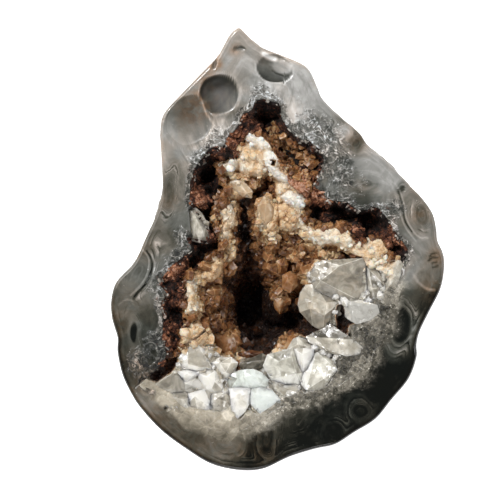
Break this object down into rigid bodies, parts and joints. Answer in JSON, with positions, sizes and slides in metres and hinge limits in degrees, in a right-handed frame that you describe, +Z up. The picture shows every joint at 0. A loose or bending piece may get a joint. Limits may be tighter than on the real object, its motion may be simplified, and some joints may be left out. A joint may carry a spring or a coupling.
{
  "type": "plume agate geode half",
  "caption": "Half of a hollow agate nodule, sawn and polished, with a rusty lining and a quartz crystal crust round a deep dark pit.",
  "frame": {"origin": "on the resting surface, below the middle of the stone's outline", "axes": "+Z up, square to the polished cut; +X across the cut; +Y along the cut, towards the pointed end"},
  "size_m": [0.0423, 0.056, 0.021],
  "materials": {
    "agate": "banded grey chalcedony, polished glossy on the cut, rough and dull on the rounded back",
    "iron_oxide": "matt, porous, rusty red-brown to near black",
    "quartz": "glassy crystal faces, milky white, cream and tan, partly see-through"
  },
  "bodies": {
    "root": {"agate_shell": "agate", "rust_lining": "iron_oxide", "crystal_crust": "quartz"}
  },
  "joints": []
}
